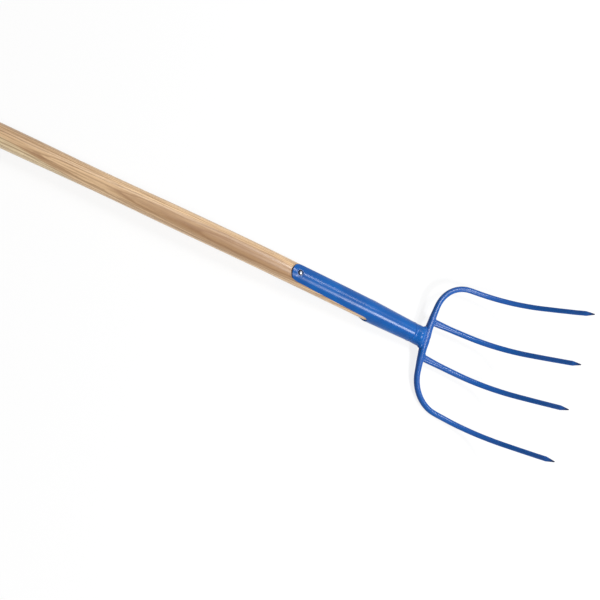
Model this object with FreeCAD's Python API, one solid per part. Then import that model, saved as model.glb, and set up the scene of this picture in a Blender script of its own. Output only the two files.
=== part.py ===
import FreeCAD, Part

import math
import os

from FreeCAD import Matrix, Placement, Rotation, Vector

# Four-tine hay fork, in millimetres and degrees.
# The fork lies on its back as it comes to rest: +X runs from the butt of the handle to the tine
# points, +Z is up on the hollow side of the tines, and it leans on its right shoulder.
# The origin is on the floor under the middle of the fork.

# Ash handle
handle_length = 1300.0
handle_radius = 17.1
waist_radius = 15.8
waist_behind_straps = 325.0
grip_radius = 16.5
grip_behind_straps = 460.0
swell_behind_straps = 160.0
butt_rounding = 11.0
set_angle = 3.95
set_radius = 1500.0
nose_in_tube = 40.0
nose_chamfer = 2.0
cut_over = 1.0

# Rolled steel socket: two straps, then a closed tube
sheet = 2.0
strap_length = 160.0
tube_length = 83.0
slit_inner_radius = 16.05
tube_end_inner_radius = 13.9
slit_half_height_at_tips = 13.9
slit_end_half_height = 9.0
slit_end_depth = 12.8
slit_end_round = 9.0
wood_gap = 0.1

# Rivet through both straps
rivet_from_tips = 14.0
shank_radius = 2.5
hole_clearance = 0.1
head_radius = 4.4
head_height = 2.0
tail_radius = 3.9
tail_height = 1.6
washer_radius = 5.6
washer_thickness = 1.4
dimple_depth = 0.8
dimple_margin = 0.5

# Forged neck between the tube and the bow
neck_length = 32.0
weld_gap = 1.6
weld_rise = 0.25
collar_radius = 16.1
collar_straight = 14.0
collar_front_half_width = 16.8
collar_front_half_thickness = 5.1
collar_brow_share = 0.36
collar_brow_thickness_share = 0.3
collar_brow_power = 2.1
collar_throat_share = 0.68
collar_throat_thickness_share = 0.9
collar_throat_power = 2.5
collar_front_power = 2.9
spigot_length = 25.0
spigot_clearance = 0.1

# Dished shape shared by all four tines, seen from the side: three arcs, each with its angle
root_arc_length = 80.5
root_arc_angle = 8.4
main_arc_length = 99.8
main_arc_angle = 40.6
end_arc_length = 84.9
end_arc_angle = 4.3

# Plan of the bow and the outer tines, flattened
bow_half_angle = 7.4
corner_radius = 57.3
shoulder_half_width = 106.3
outer_splay_angle = 5.27
inner_root_offset = 30.3
inner_splay_angle = 1.76

# Sections of the bars: half widths across the dish, and thickness as a share of the width
bar_root_half_width = 4.95
bar_tip_half_width = 4.0
bow_centre_half_width = 6.6
bow_swell_length = 62.0
inner_root_half_width = 5.85
inner_bar_half_width = 5.1
inner_flare_length = 43.0
root_thickness_share = 0.8
tip_thickness_share = 0.95
inner_root_thickness_share = 0.62
bar_root_power = 2.9
square_root_share = 0.5
point_length = 14.0
point_half_width = 0.9

# Weld beads
neck_bead_width = 1.9
neck_bead_height = 1.4
neck_bead_length = 4.4
neck_bead_power = 2.5
bead_sink = 0.5
tine_bead_width = 2.2
tine_bead_height = 0.73
tine_bead_length = 3.4

# How finely the bars are shaped
station_step = 14.0
corner_step = 9.0
SECTION_POINTS = 16
ROUND_POWER = 2.0
REST_ROUNDS = 8
X = Vector(1, 0, 0)
Y = Vector(0, 1, 0)
Z = Vector(0, 0, 1)


def revolve_about_x(points):
    """Solid of revolution about the X axis from a closed outline of (x, radius) points."""
    corners = [Vector(x, 0, r) for x, r in points]
    outline = Part.makePolygon(corners + corners[:1])
    return Part.Face(outline).revolve(Vector(), X, 360)


def section(centre, side, normal, half_width, half_thickness, power):
    """Closed super-ellipse round a bar: ROUND_POWER is an ellipse, a larger one is squarer."""
    points = []
    for i in range(SECTION_POINTS):
        angle = 2 * math.pi * i / SECTION_POINTS
        across = math.copysign(abs(math.cos(angle)) ** (2 / power), math.cos(angle))
        up = math.copysign(abs(math.sin(angle)) ** (2 / power), math.sin(angle))
        points.append(centre + side * (half_width * across) + normal * (half_thickness * up))
    even = [i / SECTION_POINTS for i in range(SECTION_POINTS + 1)]
    curve = Part.BSplineCurve()
    curve.interpolate(Points=points, PeriodicFlag=True, Parameters=even)
    return Part.Wire([curve.toShape()])


def ellipsoid(centre, half_x, half_y, half_z):
    """Ellipsoid with its axes along X, Y and Z."""
    stretch = Matrix()
    stretch.scale(half_x, half_y, half_z)
    ball = Part.makeSphere(1.0).transformGeometry(stretch)
    ball.translate(centre)
    return ball


def blend(start, end, share):
    return start + (end - start) * share


def fade(distance, length):
    """1 at the start, falling smoothly to 0 at the given length."""
    share = min(abs(distance) / length, 1.0)
    return math.cos(share * math.pi / 2) ** 2


# ---- Places along the fork: the socket and the head each have their own axes ----

nose_length = strap_length + nose_in_tube
set_length = set_radius * math.radians(set_angle)
straight_length = handle_length - set_length - nose_length
strap_tips = Vector(
    straight_length + set_radius * math.sin(math.radians(set_angle)),
    0,
    -set_radius * (1 - math.cos(math.radians(set_angle))),
)
socket_place = Placement(strap_tips, Rotation(Y, set_angle))
tube_end = strap_length + tube_length
bow_x = tube_end + neck_length
mouth_inner_radius = handle_radius + wood_gap


def inner_radius(x):
    """Inside radius of the socket at x behind the strap tips."""
    if x <= strap_length:
        return blend(mouth_inner_radius, slit_inner_radius, x / strap_length)
    return blend(slit_inner_radius, tube_end_inner_radius, (x - strap_length) / tube_length)


# ---- Handle ----

def make_handle_shaft():
    """Butt, grip, waist and swell, turned about the handle's straight axis."""
    grip_end = straight_length + set_length - grip_behind_straps
    waist = straight_length + set_length - waist_behind_straps
    swell = straight_length + set_length - swell_behind_straps
    flat = grip_radius - butt_rounding
    mid = butt_rounding * (1 - math.sqrt(0.5))
    butt = Part.Arc(
        Vector(0, 0, flat),
        Vector(mid, 0, grip_radius - mid),
        Vector(butt_rounding, 0, grip_radius),
    ).toShape()
    waist_curve = Part.BSplineCurve()
    waist_curve.interpolate(
        Points=[Vector(grip_end, 0, grip_radius), Vector(waist, 0, waist_radius), Vector(swell, 0, handle_radius)],
        InitialTangent=X,
        FinalTangent=X,
    )
    outline = Part.Wire([
        Part.makeLine(Vector(), Vector(0, 0, flat)),
        butt,
        Part.makeLine(Vector(butt_rounding, 0, grip_radius), Vector(grip_end, 0, grip_radius)),
        waist_curve.toShape(),
        Part.makeLine(Vector(swell, 0, handle_radius), Vector(straight_length, 0, handle_radius)),
        Part.makeLine(Vector(straight_length, 0, handle_radius), Vector(straight_length, 0, 0)),
        Part.makeLine(Vector(straight_length, 0, 0), Vector()),
    ])
    return Part.Face(outline).revolve(Vector(), X, 360)


def make_handle_set():
    """Short curved stretch that sets the nose of the handle down towards the socket."""
    circle = Part.makeCircle(handle_radius, Vector(straight_length, 0, 0), X)
    disc = Part.Face(Part.Wire([circle]))
    return disc.revolve(Vector(straight_length, 0, -set_radius), Y, set_angle)


def make_handle_nose():
    """Tapered nose that fills the straps and the start of the tube."""
    end_radius = inner_radius(nose_length) - wood_gap
    nose = revolve_about_x([
        (0, 0),
        (0, handle_radius),
        (strap_length, inner_radius(strap_length) - wood_gap),
        (nose_length - nose_chamfer, inner_radius(nose_length - nose_chamfer) - wood_gap),
        (nose_length, end_radius - nose_chamfer),
        (nose_length, 0),
    ])
    nose = nose.cut(rivet_hole())
    nose.Placement = socket_place
    return nose


def rivet_hole():
    reach = mouth_inner_radius + sheet + cut_over
    return Part.makeCylinder(
        shank_radius + hole_clearance, 2 * reach, Vector(rivet_from_tips, 0, -reach), Z
    )


def make_handle():
    handle = make_handle_shaft().fuse([make_handle_set(), make_handle_nose()])
    return handle.removeSplitter()


# ---- Socket ----

def strap_outline():
    """Plan of the straps and tube from above, as a tall prism: the straps end in half rounds."""
    tip_inner = inner_radius(0)
    strap_half_width = math.sqrt((tip_inner + sheet) ** 2 - slit_half_height_at_tips ** 2)
    height = 4 * (tip_inner + sheet)
    disc = Part.makeCylinder(strap_half_width, height, Vector(strap_half_width, 0, -height / 2), Z)
    body = Part.makeBox(
        tube_end, height, height, Vector(strap_half_width, -height / 2, -height / 2)
    )
    return disc.fuse(body)


def side_slits():
    """Tapered slit that parts the two straps, as a wide prism across the socket.

    It reaches further below the axis than above, so the back strap is the narrower one.
    """
    width = 4 * (mouth_inner_radius + sheet)
    round_x = strap_length - slit_end_round
    middle = (slit_end_half_height - slit_end_depth) / 2
    top_start = Vector(-cut_over, 0, slit_half_height_at_tips)
    top_end = Vector(round_x, 0, slit_end_half_height)
    bottom_end = Vector(round_x, 0, -slit_end_depth)
    bottom_start = Vector(-cut_over, 0, -slit_half_height_at_tips)
    outline = Part.Wire([
        Part.makeLine(top_start, top_end),
        Part.Arc(top_end, Vector(strap_length, 0, middle), bottom_end).toShape(),
        Part.makeLine(bottom_end, bottom_start),
        Part.makeLine(bottom_start, top_start),
    ])
    slits = Part.Face(outline).extrude(Y * width)
    slits.translate(Y * (-width / 2))
    return slits


def dimple_floor():
    """Height of the flat pressed under each rivet end, above the socket's axis."""
    return inner_radius(rivet_from_tips) + sheet - dimple_depth


def rivet_dimples():
    """Flat seats pressed into both straps round the rivet."""
    floor = dimple_floor()
    seat_radius = math.sqrt((floor + dimple_depth) ** 2 - floor ** 2) + dimple_margin
    height = dimple_depth + cut_over
    top = Part.makeCylinder(seat_radius, height, Vector(rivet_from_tips, 0, floor), Z)
    bottom = Part.makeCylinder(seat_radius, height, Vector(rivet_from_tips, 0, -floor), -Z)
    return top.fuse(bottom)


def make_socket():
    outer = [(x, inner_radius(x) + sheet) for x in (0, strap_length, tube_end)]
    inner = [(x, inner_radius(x)) for x in (tube_end, strap_length, 0)]
    shell = revolve_about_x(outer + inner)
    shell = shell.common(strap_outline())
    shell = shell.cut(side_slits()).cut(rivet_hole()).cut(rivet_dimples())
    shell.Placement = socket_place
    return shell


# ---- Rivet and washer ----

def dome(radius, height):
    """Cap of a ball standing on the plane z = 0."""
    ball_radius = (radius ** 2 + height ** 2) / (2 * height)
    ball = Part.makeSphere(ball_radius, Vector(0, 0, height - ball_radius))
    return ball.common(Part.makeCylinder(radius + cut_over, height + cut_over))


def make_rivet():
    tail_seat = dimple_floor() + washer_thickness
    shank = Part.makeCylinder(shank_radius, dimple_floor() + tail_seat, Vector(0, 0, -tail_seat), Z)
    head = dome(head_radius, head_height)
    head.translate(Z * dimple_floor())
    tail = dome(tail_radius, tail_height).mirror(Vector(), Z)
    tail.translate(Z * (-tail_seat))
    rivet = shank.fuse([head, tail]).removeSplitter()
    rivet.translate(X * rivet_from_tips)
    rivet.Placement = socket_place.multiply(rivet.Placement)
    return rivet


def make_washer():
    base = Vector(rivet_from_tips, 0, -dimple_floor() - washer_thickness)
    disc = Part.makeCylinder(washer_radius, washer_thickness, base, Z)
    washer = disc.cut(Part.makeCylinder(shank_radius + hole_clearance, washer_thickness, base, Z))
    washer.Placement = socket_place
    return washer


# ---- Head: the dish, the bow and the tines, about the bow's centre ----

DISH_ARCS = (
    (root_arc_length, root_arc_angle),
    (main_arc_length, main_arc_angle),
    (end_arc_length, end_arc_angle),
)
dish_length = sum(length for length, _ in DISH_ARCS)


def dish(distance):
    """Point and slope of the dish at a distance forward of the bow, measured along its curve."""
    x, z, slope = 0.0, 0.0, 0.0
    for length, turn in DISH_ARCS:
        run = min(max(distance, 0.0), length)
        radius = length / math.radians(turn)
        end = slope + run / radius
        x += radius * (math.sin(end) - math.sin(slope))
        z += radius * (math.cos(slope) - math.cos(end))
        slope = end
        distance -= run
    return x, z, slope


def bar_section(forward, across, heading, half_width, half_thickness, power):
    """Section of a bar that lies in the dish; heading is its plan angle from across to forward."""
    x, z, slope = dish(forward)
    along_dish = Vector(math.cos(slope), 0, math.sin(slope))
    normal = Vector(-math.sin(slope), 0, math.cos(slope))
    side = along_dish * math.cos(heading) - Y * math.sin(heading)
    return section(Vector(x, across, z), side, normal, half_width, half_thickness, power)


def steps(start, end, step):
    """Even stations from start to end, no further apart than the step."""
    count = max(1, math.ceil((end - start) / step))
    return [blend(start, end, i / count) for i in range(count + 1)]


def plan_of_outer_bar():
    """Half of the bow's plan: (distance, forward, across, heading) from its centre to the point."""
    first = math.radians(bow_half_angle)
    last = math.radians(90 - outer_splay_angle)
    bow_radius = (shoulder_half_width - corner_radius * (math.sin(last) - math.sin(first))) / math.sin(first)
    bow_end = bow_radius * first
    corner_end = bow_end + corner_radius * (last - first)
    shoulder = bow_radius * (1 - math.cos(first)) + corner_radius * (math.cos(first) - math.cos(last))
    straight = (dish_length - shoulder) / math.sin(last)
    plan = []
    for s in steps(0, bow_end, station_step)[:-1]:
        h = s / bow_radius
        plan.append((s, bow_radius * (1 - math.cos(h)), bow_radius * math.sin(h), h))
    for s in steps(bow_end, corner_end, corner_step)[:-1]:
        h = first + (s - bow_end) / corner_radius
        forward = shoulder - corner_radius * (math.cos(h) - math.cos(last))
        across = shoulder_half_width - corner_radius * (math.sin(last) - math.sin(h))
        plan.append((s, forward, across, h))
    for run in steps(0, straight - point_length, station_step) + [straight]:
        forward = shoulder + run * math.sin(last)
        across = shoulder_half_width + run * math.cos(last)
        plan.append((corner_end + run, forward, across, last))
    return plan


def bow_forward(across):
    """How far forward the bow's centre line has curved at a place across it."""
    plan = plan_of_outer_bar()
    for (_, f0, a0, _), (_, f1, a1, _) in zip(plan, plan[1:]):
        if a0 <= across <= a1:
            return blend(f0, f1, (across - a0) / (a1 - a0))
    raise ValueError("the inner tines are rooted outside the bow")


def outer_sizes(distance, length):
    """Half width, half thickness and squareness of the outer bar at a distance from its centre."""
    share = distance / length
    width = blend(bar_root_half_width, bar_tip_half_width, share)
    width += (bow_centre_half_width - bar_root_half_width) * fade(distance, bow_swell_length)
    thickness = width * blend(root_thickness_share, tip_thickness_share, share)
    power = blend(bar_root_power, ROUND_POWER, min(share / square_root_share, 1.0))
    return width, thickness, power


def inner_sizes(distance, length):
    """The same for an inner tine, which is flattened where it leaves the bow."""
    share = distance / length
    near = fade(distance, inner_flare_length)
    width = blend(inner_bar_half_width, bar_tip_half_width, share)
    width += (inner_root_half_width - inner_bar_half_width) * near
    thickness_share = blend(root_thickness_share, tip_thickness_share, share)
    thickness_share += (inner_root_thickness_share - root_thickness_share) * near
    power = blend(ROUND_POWER, bar_root_power, near)
    return width, width * thickness_share, power


def pointed_bar(sections, tip):
    """Smooth bar through its sections, with a straight-sided point from the last one to the tip."""
    bar = Part.makeLoft(sections, True)
    return bar.fuse(Part.makeLoft([sections[-1], tip], True, True))


def make_outer_bar():
    """Bow and both outer tines: the left half from the bow's centre to its point, and its mirror."""
    plan = plan_of_outer_bar()
    total = plan[-1][0]
    sections = []
    for distance, forward, across, heading in plan[:-1]:
        sections.append(bar_section(forward, across, heading, *outer_sizes(distance, total)))
    _, forward, across, heading = plan[-1]
    tip = bar_section(forward, across, heading, point_half_width, point_half_width, ROUND_POWER)
    half = pointed_bar(sections, tip)
    return half.fuse(half.mirror(Vector(), Y)).removeSplitter()


def make_inner_bar(side):
    """Inner tine on one side, from the bow's centre line to its point; side is 1 or -1."""
    heading = math.radians(90 - side * inner_splay_angle)
    root = bow_forward(inner_root_offset)
    length = (dish_length - root) / math.sin(heading)
    sections = []
    for run in steps(0, length - point_length, station_step):
        across = side * inner_root_offset + run * math.cos(heading)
        forward = root + run * math.sin(heading)
        sections.append(bar_section(forward, across, heading, *inner_sizes(run, length)))
    across = side * inner_root_offset + length * math.cos(heading)
    tip = bar_section(dish_length, across, heading, point_half_width, point_half_width, ROUND_POWER)
    return pointed_bar(sections, tip).removeSplitter()


COLLAR_FALL = (
    (collar_brow_share, collar_brow_thickness_share, collar_brow_power),
    (collar_throat_share, collar_throat_thickness_share, collar_throat_power),
    (1.0, 1.0, collar_front_power),
)


def make_collar():
    """Forged neck: round where it meets the tube, flattened to the bow, with a spigot behind."""
    start = tube_end + weld_gap
    shoulder = start + collar_straight
    stations = [
        (start, collar_radius, collar_radius, ROUND_POWER),
        (shoulder, collar_radius, collar_radius, ROUND_POWER),
    ]
    for share, thickness_share, power in COLLAR_FALL:
        width = blend(collar_radius, collar_front_half_width, share)
        thickness = blend(collar_radius, collar_front_half_thickness, thickness_share)
        stations.append((blend(shoulder, bow_x, share), width, thickness, power))
    sections = [section(Vector(x, 0, 0), Y, Z, w, t, p) for x, w, t, p in stations]
    flare = Part.makeLoft(sections, True)
    spigot_radius = tube_end_inner_radius - spigot_clearance
    spigot = Part.makeCylinder(
        spigot_radius, spigot_length + weld_gap, Vector(tube_end - spigot_length, 0, 0), X
    )
    return flare.fuse(spigot).removeSplitter()


def make_neck_bead():
    """Rounded band round the collar where it meets the back edge of the bow."""
    edge = bow_x - bow_centre_half_width
    hidden_width = collar_front_half_width - bead_sink
    hidden_thickness = collar_front_half_thickness - bead_sink
    stations = (
        (edge - neck_bead_length, hidden_width, hidden_thickness),
        (
            edge,
            collar_front_half_width + neck_bead_width,
            collar_front_half_thickness + neck_bead_height,
        ),
        (edge + neck_bead_length, hidden_width, hidden_thickness),
    )
    sections = [section(Vector(x, 0, 0), Y, Z, w, t, neck_bead_power) for x, w, t in stations]
    return Part.makeLoft(sections, True)


def make_socket_weld():
    """Weld ring between the tube's end and the collar's shoulder, ground nearly flush."""
    end = tube_end + weld_gap
    tube_radius = tube_end_inner_radius + sheet
    inner = tube_end_inner_radius - spigot_clearance
    return revolve_about_x([
        (tube_end, inner),
        (tube_end, tube_radius),
        (blend(tube_end, end, 0.5), blend(tube_radius, collar_radius, 0.5) + weld_rise),
        (end, collar_radius),
        (end, inner),
    ])


def in_socket_axes(shape):
    """Moves a shape made about the bow's centre to its place along the socket's axis."""
    shape.translate(X * bow_x)
    return shape


def build_nodes():
    bow = in_socket_axes(make_outer_bar())
    tines = {"left": in_socket_axes(make_inner_bar(1)), "right": in_socket_axes(make_inner_bar(-1))}
    collar = make_collar()
    neck_bead = make_neck_bead()
    collar = collar.cut(bow)
    nodes = {
        "tine_bow": bow,
        "neck_collar": collar,
        "neck_weld": neck_bead.cut([bow, collar]),
        "socket_weld": make_socket_weld(),
    }
    for side, bar in tines.items():
        sign = 1 if side == "left" else -1
        root_width, root_thickness, _ = inner_sizes(0, dish_length)
        front_edge = bow_x + bow_forward(inner_root_offset) + bar_root_half_width
        bead = ellipsoid(
            Vector(front_edge, sign * inner_root_offset, 0),
            tine_bead_length,
            root_width + tine_bead_width,
            root_thickness + tine_bead_height,
        )
        tine = bar.cut(bow)
        nodes[f"inner_tine_{side}"] = tine
        nodes[f"tine_weld_{side}"] = bead.cut(bow).cut(tine)
    for shape in nodes.values():
        shape.Placement = socket_place.multiply(shape.Placement)
    nodes["handle"] = make_handle()
    nodes["socket"] = make_socket()
    nodes["strap_rivet"] = make_rivet()
    nodes["rivet_washer"] = make_washer()
    return nodes


def turn_all(nodes, axis, angle):
    turn = Placement(Vector(), Rotation(axis, angle))
    for shape in nodes.values():
        shape.Placement = turn.multiply(shape.Placement)


def underside(shape):
    return shape.optimalBoundingBox(False).ZMin


def lay_down(nodes):
    """Lays the fork on its back, at rest on the butt, the collar and the right shoulder."""
    for _ in range(REST_ROUNDS):
        drop = underside(nodes["handle"]) - underside(nodes["neck_collar"])
        turn_all(nodes, Y, -math.degrees(math.atan2(drop, handle_length)))
        gap = underside(nodes["tine_bow"]) - underside(nodes["neck_collar"])
        turn_all(nodes, X, math.degrees(math.atan2(gap, shoulder_half_width)))
    box = Part.makeCompound(list(nodes.values())).optimalBoundingBox(False)
    shift = Vector(
        -(box.XMin + box.XMax) / 2, -(box.YMin + box.YMax) / 2, -box.ZMin
    )
    for shape in nodes.values():
        shape.translate(shift)


def main():
    os.makedirs("parts", exist_ok=True)
    nodes = build_nodes()
    lay_down(nodes)
    for name, shape in nodes.items():
        shape.exportStep(f"parts/{name}.step")
        print(f"{name:18s} solids {len(shape.Solids)} valid {shape.isValid()} volume {shape.Volume:.0f}")


main()
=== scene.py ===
import math

import bpy
from mathutils import Matrix, Vector


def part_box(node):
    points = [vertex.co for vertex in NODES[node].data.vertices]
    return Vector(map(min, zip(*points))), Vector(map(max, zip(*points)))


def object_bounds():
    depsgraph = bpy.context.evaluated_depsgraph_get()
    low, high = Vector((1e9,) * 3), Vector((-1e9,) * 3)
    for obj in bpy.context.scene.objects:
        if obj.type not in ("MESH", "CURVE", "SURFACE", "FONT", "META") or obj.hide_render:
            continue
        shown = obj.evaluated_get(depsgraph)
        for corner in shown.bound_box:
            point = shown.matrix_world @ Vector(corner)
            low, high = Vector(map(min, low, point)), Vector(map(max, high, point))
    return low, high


# Four-tine hay fork: lacquered ash handle in a strapped steel socket, with a forged head dipped
# in blue enamel. The fork lies on its back on a plain floor. Lengths are in metres.

bl_info = {
    "name": "Hay Fork",
    "version": (1, 0, 0),
    "blender": (4, 5, 0),
    "location": "View3D > Sidebar > Hay Fork",
    "description": "Gives the parts of a hay fork their finishes and lights them on a floor",
    "category": "Object",
}

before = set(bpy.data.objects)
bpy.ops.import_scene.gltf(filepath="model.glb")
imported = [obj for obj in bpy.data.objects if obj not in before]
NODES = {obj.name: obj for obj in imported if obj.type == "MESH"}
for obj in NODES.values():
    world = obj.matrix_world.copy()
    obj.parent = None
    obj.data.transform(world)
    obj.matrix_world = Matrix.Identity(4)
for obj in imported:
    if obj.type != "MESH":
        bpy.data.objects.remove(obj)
CAD_LOW, CAD_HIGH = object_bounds()
# Direction of the rivet, square to the straps
RIVET_LINE = (0.0535, -0.1025, 0.9933)
# Distances from the rivet's axis: where the dimple round it starts and ends, and its head's rim
DIMPLE_EDGE = (0.003, 0.0095)
# Painted shade and dark reflection: the head's rim is coloured dark from the first distance out to
# the second
PAINTED_RIM_SHADE_EDGE = (0.0016, 0.0032)

# Soft lamps above the fork: middle along X and Y, and size along X and Y
LAMP_HEIGHT = 2.5
PANELS = {
    "long_panel": ((1.76, 0.75), (0.36, 0.8)),
    "head_panel": ((2.53, -1.22), (0.66, 1.05)),
    "bow_panel": ((2.22, 0.57), (0.5, 0.4)),
    "pole_panel": ((1.0, 1.6), (0.7, 1.2)),
}


# ---- Node helpers ----

def add_node(tree, kind, inputs=None, **settings):
    """Adds a shader node; an input is a plain value, or the socket it is linked from."""
    node = tree.nodes.new(kind)
    for name, value in settings.items():
        setattr(node, name, value)
    for name, value in (inputs or {}).items():
        if isinstance(value, bpy.types.NodeSocket):
            tree.links.new(value, node.inputs[name])
        else:
            node.inputs[name].default_value = value
    return node


def math_node(tree, operation, first, second=0.0, third=0.0):
    values = {0: first, 1: second, 2: third}
    return add_node(tree, "ShaderNodeMath", values, operation=operation).outputs[0]


def mix_colour(tree, share, first, second):
    values = {0: share, 6: first, 7: second}
    return add_node(tree, "ShaderNodeMix", values, data_type="RGBA").outputs[2]


def inverse(tree, value):
    return math_node(tree, "SUBTRACT", 1.0, value)


def ramp(tree, value, low, high):
    """Eases a value from 0 at low to 1 at high."""
    node = add_node(
        tree,
        "ShaderNodeMapRange",
        {"Value": value, "From Min": low, "From Max": high},
        interpolation_type="SMOOTHSTEP",
    )
    return node.outputs[0]


def object_place(tree):
    return add_node(tree, "ShaderNodeTexCoord").outputs["Object"]


def along_x(tree, place):
    return add_node(tree, "ShaderNodeSeparateXYZ", {0: place}).outputs["X"]


def stretched(tree, scale):
    """Object coordinates, in cycles per metre along each axis."""
    values = {"Vector": object_place(tree), "Scale": scale}
    return add_node(tree, "ShaderNodeMapping", values).outputs[0]


def moved_from(tree, place, point):
    node = add_node(tree, "ShaderNodeVectorMath", {0: place, 1: point}, operation="SUBTRACT")
    return node.outputs[0]


def noise(tree, vector, scale, detail=3.0, roughness=0.5):
    values = {"Vector": vector, "Scale": scale, "Detail": detail, "Roughness": roughness}
    return add_node(tree, "ShaderNodeTexNoise", values).outputs[0]


def bump(tree, height, distance, strength=1.0, normal=None):
    """Relief of a given depth in metres, on top of another relief if there is one."""
    values = {"Height": height, "Distance": distance, "Strength": strength}
    if normal:
        values["Normal"] = normal
    return add_node(tree, "ShaderNodeBump", values).outputs[0]


def off_line(tree, place, point, direction):
    """Distance of a place from the line through a point."""
    values = {0: moved_from(tree, place, point), 1: direction}
    apart = add_node(tree, "ShaderNodeVectorMath", values, operation="CROSS_PRODUCT")
    length = add_node(tree, "ShaderNodeVectorMath", {0: apart.outputs[0]}, operation="LENGTH")
    return length.outputs["Value"]


def seen_directly(tree):
    """1 for what is seen directly, in a reflection or through glass, 0 for light on the fork."""
    path = add_node(tree, "ShaderNodeLightPath").outputs
    seen = math_node(tree, "MAXIMUM", path["Is Camera Ray"], path["Is Glossy Ray"])
    return math_node(tree, "MAXIMUM", seen, path["Is Transmission Ray"])


def new_material(name):
    material = bpy.data.materials.new(name)
    material.use_nodes = True
    tree = material.node_tree
    return material, tree, tree.nodes["Principled BSDF"]


def set_inputs(tree, shader, values):
    for name, value in values.items():
        if isinstance(value, bpy.types.NodeSocket):
            tree.links.new(value, shader.inputs[name])
        else:
            shader.inputs[name].default_value = value


def finish_node(name, material):
    """Puts a material on a part of the fork."""
    part = NODES[name]
    part.data.materials.clear()
    part.data.materials.append(material)


# ---- Materials ----

def sapwood(tree, look, place, along, drift):
    """1 in the pale wood beyond a slanted flat boundary, which ends before the butt."""
    values = {0: moved_from(tree, place, tuple(look.sap_point)), 1: tuple(look.sap_side)}
    depth = add_node(tree, "ShaderNodeVectorMath", values, operation="DOT_PRODUCT")
    depth = math_node(tree, "MULTIPLY_ADD", drift, look.sap_drift, depth.outputs["Value"])
    share = ramp(tree, depth, *look.sap_edge)
    return math_node(tree, "MULTIPLY", share, ramp(tree, along, *look.sap_end))


def growth_rings(tree, look, radius):
    """1 in the dark early wood, easing away into each year's pale late wood."""
    phase = math_node(tree, "FRACT", math_node(tree, "DIVIDE", radius, look.ring_width))
    early = inverse(tree, ramp(tree, phase, 0.0, look.early_share))
    late = ramp(tree, phase, look.late_share, 1.0)
    return math_node(tree, "MAXIMUM", early, late)


def heartwood(tree, look, radius, along, streak):
    """1 in the brown heart, which also tones the whole pole towards its butt."""
    edge = math_node(tree, "MULTIPLY_ADD", streak, look.heart_streaks, radius)
    heart = inverse(tree, ramp(tree, edge, look.heart, look.heart + look.heart_fade))
    toned = inverse(tree, ramp(tree, along, *look.butt_tone))
    toned = math_node(tree, "MULTIPLY", toned, look.butt_tone_strength)
    return math_node(tree, "MAXIMUM", heart, toned)


def ash_material(look):
    """Ash under satin lacquer: rings cut at a slant, a brown heart, pale sapwood, fine pores."""
    material, tree, shader = new_material("lacquered_ash")
    place = object_place(tree)
    along = along_x(tree, place)
    radius = off_line(tree, place, tuple(look.pith), tuple(look.pith_line))
    drift = noise(tree, stretched(tree, (5.0, 45.0, 45.0)), 1.0, 3.0, 0.6)
    radius = math_node(tree, "MULTIPLY_ADD", drift, look.ring_drift, radius)
    streak = noise(tree, stretched(tree, (3.5, 400.0, 400.0)), 1.0, 3.0, 0.65)
    pore = noise(tree, stretched(tree, (45.0, 2600.0, 2600.0)), 1.0, 2.0, 0.55)

    ring = growth_rings(tree, look, radius)
    heart = heartwood(tree, look, radius, along, streak)
    board = mix_colour(tree, heart, tuple(look.pale), tuple(look.tan))
    board = mix_colour(tree, sapwood(tree, look, place, along, drift), board, tuple(look.sap))
    rings = math_node(tree, "MULTIPLY", ring, look.ring_strength)
    lined = mix_colour(tree, rings, board, tuple(look.brown))
    fine = math_node(tree, "MULTIPLY", ramp(tree, streak, 0.46, 0.64), look.streak_strength)
    streaked = mix_colour(tree, fine, lined, tuple(look.brown))
    pores = math_node(tree, "MULTIPLY", ramp(tree, pore, 0.58, 0.70), look.pore_strength)
    colour = mix_colour(tree, pores, streaked, tuple(look.dark))
    sunk = math_node(tree, "MULTIPLY", pores, -1.0)
    relief = math_node(tree, "MULTIPLY_ADD", ring, -look.ring_depth_share, sunk)
    set_inputs(tree, shader, {
        "Base Color": colour,
        "Roughness": math_node(tree, "MULTIPLY_ADD", pores, 0.25, look.roughness),
        "IOR": 1.45,
        "Coat Weight": look.lacquer,
        "Coat Roughness": look.lacquer_roughness,
        "Normal": bump(tree, relief, look.pore_depth, 0.6),
    })
    return material


def rivet_middle():
    """Middle of the rivet, a point on its axis."""
    low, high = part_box("strap_rivet")
    return (Vector(low) + Vector(high)) / 2


def enamel_material(look, name, blue, ripple=0.0, dimple=0.0):
    """Glossy enamel: a smooth, slightly wavy film, rubbed dark at the points of the tines."""
    material, tree, shader = new_material(name)
    film = noise(tree, stretched(tree, (1, 1, 1)), 30.0, 2.0)
    wave = noise(tree, stretched(tree, (1, 1, 1)), 55.0, 1.0)
    colour = mix_colour(tree, ramp(tree, film, 0.35, 0.65), tuple(look.deep), tuple(blue))
    place = object_place(tree)
    rubbed = ramp(tree, along_x(tree, place), CAD_HIGH[0] - look.point_length, CAD_HIGH[0])
    colour = mix_colour(tree, rubbed, colour, tuple(look.point))
    normal = bump(tree, wave, look.unevenness + ripple)
    if dimple:
        away = off_line(tree, place, rivet_middle(), RIVET_LINE)
        normal = bump(tree, ramp(tree, away, *DIMPLE_EDGE), dimple, normal=normal)
    set_inputs(tree, shader, {
        "Base Color": colour,
        "Roughness": math_node(tree, "MULTIPLY_ADD", film, look.roughness_spread, look.roughness),
        "IOR": look.gloss,
        "Normal": normal,
    })
    return material


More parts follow.
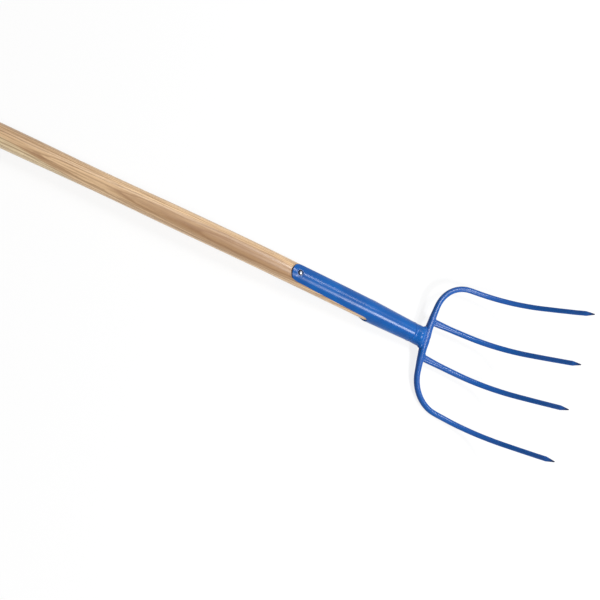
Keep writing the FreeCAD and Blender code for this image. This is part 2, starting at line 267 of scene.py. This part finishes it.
def bare_steel_material(look):
    """Bright hammered rivet steel, dull in its low places, with painted shade and dark reflection
    round its edge.
    """
    material, tree, shader = new_material("rivet_steel")
    grain = noise(tree, stretched(tree, (1.0, 1.0, 1.0)), 900.0, 3.0)
    blow = noise(tree, stretched(tree, (1.0, 1.0, 1.0)), 320.0, 1.0)
    away = off_line(tree, object_place(tree), rivet_middle(), RIVET_LINE)
    # Painted shade and dark reflection: the edge of the head is coloured dark
    painted_rim_shade = ramp(tree, away, *PAINTED_RIM_SHADE_EDGE)
    colour = mix_colour(tree, ramp(tree, blow, 0.35, 0.65), tuple(look.dull), tuple(look.bright))
    colour = mix_colour(tree, painted_rim_shade, colour, tuple(look.painted_rim_shade))
    set_inputs(tree, shader, {
        "Base Color": colour,
        "Metallic": 1.0,
        "Roughness": math_node(tree, "MULTIPLY_ADD", grain, 0.2, look.roughness),
        "Normal": bump(tree, math_node(tree, "MULTIPLY_ADD", grain, 0.2, blow), look.hammering),
    })
    return material


# ---- Settings ----

class HandleLook(bpy.types.PropertyGroup):
    """Ash handle"""

    pale: bpy.props.FloatVectorProperty(
        name="Pale wood", description="Lightest wood of the pole", subtype="COLOR", size=4,
        min=0, max=1, default=(0.84, 0.585, 0.335, 1),
    )
    tan: bpy.props.FloatVectorProperty(
        name="Tan wood", description="Middle tone of the pole", subtype="COLOR", size=4,
        min=0, max=1, default=(0.37, 0.212, 0.100, 1),
    )
    brown: bpy.props.FloatVectorProperty(
        name="Ring brown", description="Early wood of the growth rings", subtype="COLOR", size=4,
        min=0, max=1, default=(0.25, 0.12, 0.045, 1),
    )
    dark: bpy.props.FloatVectorProperty(
        name="Pore brown", description="Open pores under the lacquer", subtype="COLOR", size=4,
        min=0, max=1, default=(0.16, 0.085, 0.04, 1),
    )
    pith: bpy.props.FloatVectorProperty(
        name="Pith", description="A point on the line where the tree's middle was",
        subtype="TRANSLATION", size=3, default=(0.1, -0.0235, 0.0815), unit="LENGTH",
    )
    pith_line: bpy.props.FloatVectorProperty(
        name="Pith line", description="Direction of the tree's middle, at a slant to the pole",
        subtype="DIRECTION", size=3, default=(1.0, 0.0085, 0.0003),
    )
    sap: bpy.props.FloatVectorProperty(
        name="Sapwood", description="Pale wood on the low side towards the butt", subtype="COLOR",
        size=4, min=0, max=1, default=(0.80, 0.63, 0.385, 1),
    )
    sap_point: bpy.props.FloatVectorProperty(
        name="Sapwood point", description="A point on the sapwood's boundary",
        subtype="TRANSLATION", size=3, default=(-0.157, 0.008, 0.0264), unit="LENGTH",
    )
    sap_side: bpy.props.FloatVectorProperty(
        name="Sapwood side", description="Points away from the sapwood, square to its boundary",
        subtype="DIRECTION", size=3, default=(-0.0911, -0.9249, -0.3818),
    )
    heart: bpy.props.FloatProperty(
        name="Heart", description="How far the brown heartwood reaches from the pith",
        default=0.0520, unit="LENGTH",
    )
    sap_end: bpy.props.FloatVectorProperty(
        name="Sapwood end", description="Where along the pole the sapwood is gone, and full",
        size=2, default=(-0.50, -0.28), unit="LENGTH",
    )
    butt_tone: bpy.props.FloatVectorProperty(
        name="Darker end", description="Where the darker end is full, and where it starts",
        size=2, default=(-0.14, 0.02), unit="LENGTH",
    )
    butt_tone_strength: bpy.props.FloatProperty(
        name="Darker end strength", description="How much darker the pole is towards its butt",
        default=0.45, subtype="FACTOR", min=0, max=1,
    )
    sap_edge: bpy.props.FloatVectorProperty(
        name="Sapwood edge", description="Where the sapwood starts and is full, past its boundary",
        size=2, default=(0.0055, 0.0080), unit="LENGTH",
    )
    sap_drift: bpy.props.FloatProperty(
        name="Sapwood drift", description="How far the sapwood's boundary wanders", default=0.004,
        unit="LENGTH",
    )
    heart_fade: bpy.props.FloatProperty(
        name="Heart fade", description="Over what distance the heartwood eases into pale wood",
        default=0.008, unit="LENGTH",
    )
    heart_streaks: bpy.props.FloatProperty(
        name="Heart streaks", description="How far fine streaks break up the heart's edge",
        default=0.012, unit="LENGTH",
    )
    early_share: bpy.props.FloatProperty(
        name="Early wood", description="Share of a year's growth that starts dark and fades",
        default=0.55, subtype="FACTOR", min=0, max=1,
    )
    late_share: bpy.props.FloatProperty(
        name="Late wood", description="Share of a year's growth after which it darkens again",
        default=0.86, subtype="FACTOR", min=0, max=1,
    )
    ring_drift: bpy.props.FloatProperty(
        name="Ring drift", description="How far the rings wander along the pole", default=0.008,
        unit="LENGTH",
    )
    ring_width: bpy.props.FloatProperty(
        name="Ring width", description="A year's growth", default=0.0026, unit="LENGTH",
    )
    ring_strength: bpy.props.FloatProperty(
        name="Ring strength", description="How plainly the rings show", default=0.60,
        subtype="FACTOR", min=0, max=1,
    )
    streak_strength: bpy.props.FloatProperty(
        name="Streak strength", description="How plainly the fine streaks show", default=0.65,
        subtype="FACTOR", min=0, max=1,
    )
    ring_depth_share: bpy.props.FloatProperty(
        name="Ring depth", description="Depth of the early wood as a share of the pores' depth",
        default=0.35, subtype="FACTOR", min=0, max=1,
    )
    pore_strength: bpy.props.FloatProperty(
        name="Pore strength", description="How dark the pores are", default=0.4,
        subtype="FACTOR", min=0, max=1,
    )
    pore_depth: bpy.props.FloatProperty(
        name="Pore depth", description="How deep the pores sink under the lacquer", default=0.0001,
        unit="LENGTH",
    )
    roughness: bpy.props.FloatProperty(
        name="Wood roughness", description="Roughness of the wood under the lacquer", default=0.42,
        subtype="FACTOR", min=0, max=1,
    )
    lacquer: bpy.props.FloatProperty(
        name="Lacquer", description="Strength of the clear coat", default=0.35,
        subtype="FACTOR", min=0, max=1,
    )
    lacquer_roughness: bpy.props.FloatProperty(
        name="Lacquer roughness", description="Roughness of the clear coat", default=0.28,
        subtype="FACTOR", min=0, max=1,
    )


class EnamelLook(bpy.types.PropertyGroup):
    """Blue enamel on all the painted steel"""

    blue: bpy.props.FloatVectorProperty(
        name="Blue", description="Full film of enamel", subtype="COLOR", size=4,
        min=0, max=1, default=(0.002, 0.092, 0.350, 1),
    )
    deep: bpy.props.FloatVectorProperty(
        name="Deep blue", description="Enamel where the film is thick", subtype="COLOR", size=4,
        min=0, max=1, default=(0.004, 0.076, 0.300, 1),
    )
    head: bpy.props.FloatVectorProperty(
        name="Head blue", description="Enamel of the bow, the tines and the welds",
        subtype="COLOR", size=4, min=0, max=1, default=(0.012, 0.078, 0.305, 1),
    )
    point: bpy.props.FloatVectorProperty(
        name="Points", description="Enamel rubbed dark on the points of the tines", subtype="COLOR",
        size=4, min=0, max=1, default=(0.010, 0.014, 0.035, 1),
    )
    point_length: bpy.props.FloatProperty(
        name="Point length", description="How far back from the points the paint is dark",
        default=0.012, unit="LENGTH",
    )
    roughness: bpy.props.FloatProperty(
        name="Roughness", description="Roughness of the enamel", default=0.20,
        subtype="FACTOR", min=0, max=1,
    )
    roughness_spread: bpy.props.FloatProperty(
        name="Roughness spread", description="How much duller the enamel is where its film is full",
        default=0.06, subtype="FACTOR", min=0, max=1,
    )
    weld_ripple: bpy.props.FloatProperty(
        name="Weld ripple", description="Height of the welds' ripples under the film",
        default=0.0001, unit="LENGTH",
    )
    gloss: bpy.props.FloatProperty(
        name="Gloss", description="Refractive index of the film", default=1.26,
    )
    unevenness: bpy.props.FloatProperty(
        name="Unevenness", description="Height of the waves in the film", default=0.00008,
        unit="LENGTH",
    )


class RivetLook(bpy.types.PropertyGroup):
    """Bare steel of the rivet and its washer"""

    bright: bpy.props.FloatVectorProperty(
        name="Bright steel", description="Rubbed places", subtype="COLOR", size=4,
        min=0, max=1, default=(0.30, 0.30, 0.32, 1),
    )
    dull: bpy.props.FloatVectorProperty(
        name="Dull steel", description="Low places", subtype="COLOR", size=4,
        min=0, max=1, default=(0.20, 0.21, 0.24, 1),
    )
    # Painted shade and dark reflection: dark colour laid on the rim of the rivet's head
    painted_rim_shade: bpy.props.FloatVectorProperty(
        name="Rim", description="Grime and shade round the edge of the head", subtype="COLOR",
        size=4, min=0, max=1, default=(0.020, 0.028, 0.050, 1),
    )
    dimple: bpy.props.FloatProperty(
        name="Dimple", description="How far the strap is hammered down round the rivet",
        default=0.0003, unit="LENGTH",
    )
    hammering: bpy.props.FloatProperty(
        name="Hammering", description="Depth of the hammer marks", default=0.00012, unit="LENGTH",
    )
    roughness: bpy.props.FloatProperty(
        name="Roughness", description="Roughness of the steel", default=0.22,
        subtype="FACTOR", min=0, max=1,
    )


class StageLook(bpy.types.PropertyGroup):
    """Floor, lamps and camera"""

    floor_size: bpy.props.FloatProperty(
        name="Floor size", description="Length and width of the floor", default=60.0, unit="LENGTH",
    )
    floor_colour: bpy.props.FloatVectorProperty(
        name="Floor colour", description="Pale matt floor", subtype="COLOR", size=4,
        min=0, max=1, default=(0.86, 0.86, 0.86, 1),
    )
    floor_glow: bpy.props.FloatProperty(
        name="Floor whitening", description="How far the floor is lifted to white where it is seen",
        default=0.84, subtype="FACTOR", min=0, max=1,
    )
    ambient: bpy.props.FloatProperty(
        name="Ambient", description="Light from all round", default=0.31,
    )
    long_panel: bpy.props.FloatProperty(
        name="Long panel", description="Brightness of the lamp that the strap reflects",
        default=46.0,
    )
    head_panel: bpy.props.FloatProperty(
        name="Head panel", description="Brightness of the lamp beyond the tines", default=56.0,
    )
    bow_panel: bpy.props.FloatProperty(
        name="Bow panel", description="Brightness of the lamp that the bow reflects", default=9.0,
    )
    pole_panel: bpy.props.FloatProperty(
        name="Pole panel", description="Brightness of the lamp that the pole reflects", default=6.5,
    )
    aim: bpy.props.FloatVectorProperty(
        name="Aim", description="Point in the middle of the view", subtype="TRANSLATION", size=3,
        default=(0.3387, -0.0240, 0.0212), unit="LENGTH",
    )
    distance: bpy.props.FloatProperty(
        name="Distance", description="From the aim to the camera", default=2.4864, unit="LENGTH",
    )
    azimuth: bpy.props.FloatProperty(
        name="Azimuth", description="Compass angle of the camera from +X", subtype="ANGLE",
        default=math.radians(-139.696),
    )
    elevation: bpy.props.FloatProperty(
        name="Elevation", description="Angle of the camera above the floor", subtype="ANGLE",
        default=math.radians(57.380),
    )
    roll: bpy.props.FloatProperty(
        name="Roll", description="Tilt of the camera about its view", subtype="ANGLE",
        default=math.radians(69.858),
    )
    lens: bpy.props.FloatProperty(
        name="Lens", description="Focal length", default=98.1, unit="CAMERA",
    )


# ---- Pieces ----

class FORK_OT_handle(bpy.types.Operator):
    """Gives the pole its lacquered ash"""

    bl_idname = "hay_fork.handle"
    bl_label = "Ash handle"

    def execute(self, context):
        finish_node("handle", ash_material(context.scene.fork_handle))
        return {"FINISHED"}


class FORK_OT_socket(bpy.types.Operator):
    """Paints the strapped socket and the forged neck"""

    bl_idname = "hay_fork.socket"
    bl_label = "Socket and neck"

    def execute(self, context):
        look = context.scene.fork_enamel
        dimple = context.scene.fork_rivet.dimple
        enamel = enamel_material(look, "socket_enamel", look.blue, dimple=dimple)
        for name in ("socket", "neck_collar"):
            finish_node(name, enamel)
        return {"FINISHED"}


class FORK_OT_head(bpy.types.Operator):
    """Paints the bow and the tines"""

    bl_idname = "hay_fork.head"
    bl_label = "Bow and tines"

    def execute(self, context):
        look = context.scene.fork_enamel
        enamel = enamel_material(look, "tine_enamel", look.head)
        for name in ("tine_bow", "inner_tine_left", "inner_tine_right"):
            finish_node(name, enamel)
        return {"FINISHED"}


class FORK_OT_welds(bpy.types.Operator):
    """Paints the welds, whose ripples show through the film"""

    bl_idname = "hay_fork.welds"
    bl_label = "Welds"

    def execute(self, context):
        look = context.scene.fork_enamel
        enamel = enamel_material(look, "weld_enamel", look.head, ripple=look.weld_ripple)
        for name in ("socket_weld", "neck_weld", "tine_weld_left", "tine_weld_right"):
            finish_node(name, enamel)
        return {"FINISHED"}


class FORK_OT_rivet(bpy.types.Operator):
    """Finishes the rivet and its washer in bare steel"""

    bl_idname = "hay_fork.rivet"
    bl_label = "Rivet and washer"

    def execute(self, context):
        steel = bare_steel_material(context.scene.fork_rivet)
        for name in ("strap_rivet", "rivet_washer"):
            finish_node(name, steel)
        return {"FINISHED"}


def add_panel(name, place, size, brightness):
    """Soft rectangular lamp that faces down; its size is along X and Y."""
    light = bpy.data.lights.new(name, "AREA")
    light.shape = "RECTANGLE"
    light.size, light.size_y = size
    light.energy = brightness * math.pi * size[0] * size[1]
    lamp = bpy.data.objects.new(name, light)
    lamp.location = place
    lamp.visible_camera = False
    bpy.context.scene.collection.objects.link(lamp)


class FORK_OT_stage(bpy.types.Operator):
    """Adds the floor, the lamps, the world and the camera"""

    bl_idname = "hay_fork.stage"
    bl_label = "Stage"

    def execute(self, context):
        look = context.scene.fork_stage
        self.add_floor(look)
        self.add_world(context, look)
        for name, (middle, size) in PANELS.items():
            add_panel(name, (*middle, LAMP_HEIGHT), size, getattr(look, name))
        self.add_camera(context, look)
        context.scene.view_settings.view_transform = "Standard"
        return {"FINISHED"}

    def add_floor(self, look):
        half = look.floor_size / 2
        corners = [(-half, -half, 0), (half, -half, 0), (half, half, 0), (-half, half, 0)]
        mesh = bpy.data.meshes.new("floor")
        mesh.from_pydata(corners, [], [(0, 1, 2, 3)])
        floor = bpy.data.objects.new("floor", mesh)
        bpy.context.scene.collection.objects.link(floor)
        material, tree, shader = new_material("floor_matt")
        set_inputs(tree, shader, {"Base Color": tuple(look.floor_colour), "Roughness": 0.9})
        white = add_node(tree, "ShaderNodeEmission", {"Color": (1, 1, 1, 1), "Strength": 1.0})
        share = math_node(tree, "MULTIPLY", seen_directly(tree), look.floor_glow)
        lifted = add_node(
            tree, "ShaderNodeMixShader", {0: share, 1: shader.outputs[0], 2: white.outputs[0]}
        )
        tree.links.new(lifted.outputs[0], tree.nodes["Material Output"].inputs["Surface"])
        mesh.materials.append(material)

    def add_world(self, context, look):
        world = bpy.data.worlds.new("studio")
        world.use_nodes = True
        tree = world.node_tree
        background = tree.nodes["Background"]
        background.inputs["Color"].default_value = (1, 1, 1, 1)
        span = 1.0 - look.ambient
        strength = math_node(tree, "MULTIPLY_ADD", seen_directly(tree), span, look.ambient)
        tree.links.new(strength, background.inputs["Strength"])
        context.scene.world = world

    def add_camera(self, context, look):
        camera = bpy.data.cameras.new("camera")
        camera.lens = look.lens
        camera.sensor_width = 36.0
        back = Vector((
            math.cos(look.elevation) * math.cos(look.azimuth),
            math.cos(look.elevation) * math.sin(look.azimuth),
            math.sin(look.elevation),
        ))
        level = Vector((0, 0, 1)).cross(back).normalized()
        upright = back.cross(level)
        right = level * math.cos(look.roll) + upright * math.sin(look.roll)
        up = back.cross(right)
        place = Matrix((right, up, back)).transposed().to_4x4()
        place.translation = Vector(look.aim) + back * look.distance
        viewer = bpy.data.objects.new("camera", camera)
        viewer.matrix_world = place
        context.scene.collection.objects.link(viewer)
        context.scene.camera = viewer


# ---- Panel and registration ----

OPERATORS = (
    FORK_OT_handle, FORK_OT_socket, FORK_OT_head, FORK_OT_welds, FORK_OT_rivet, FORK_OT_stage
)
LOOKS = {
    "fork_handle": HandleLook,
    "fork_enamel": EnamelLook,
    "fork_rivet": RivetLook,
    "fork_stage": StageLook,
}


class FORK_PT_panel(bpy.types.Panel):
    """Lists the fork's finishes and the steps that apply them"""

    bl_idname = "FORK_PT_panel"
    bl_label = "Hay Fork"
    bl_space_type = "VIEW_3D"
    bl_region_type = "UI"
    bl_category = "Hay Fork"

    def draw(self, context):
        for operator in OPERATORS:
            self.layout.operator(operator.bl_idname)
        for pointer, group in LOOKS.items():
            box = self.layout.box()
            box.label(text=group.__doc__)
            for name in group.__annotations__:
                box.prop(getattr(context.scene, pointer), name)


CLASSES = (*LOOKS.values(), *OPERATORS, FORK_PT_panel)


def register():
    for kind in CLASSES:
        bpy.utils.register_class(kind)
    for pointer, group in LOOKS.items():
        setattr(bpy.types.Scene, pointer, bpy.props.PointerProperty(type=group))


def unregister():
    for pointer in LOOKS:
        delattr(bpy.types.Scene, pointer)
    for kind in reversed(CLASSES):
        bpy.utils.unregister_class(kind)


def main():
    register()
    bpy.ops.hay_fork.handle()
    bpy.ops.hay_fork.socket()
    bpy.ops.hay_fork.head()
    bpy.ops.hay_fork.welds()
    bpy.ops.hay_fork.rivet()
    bpy.ops.hay_fork.stage()


if __name__ == "__main__":
    main()
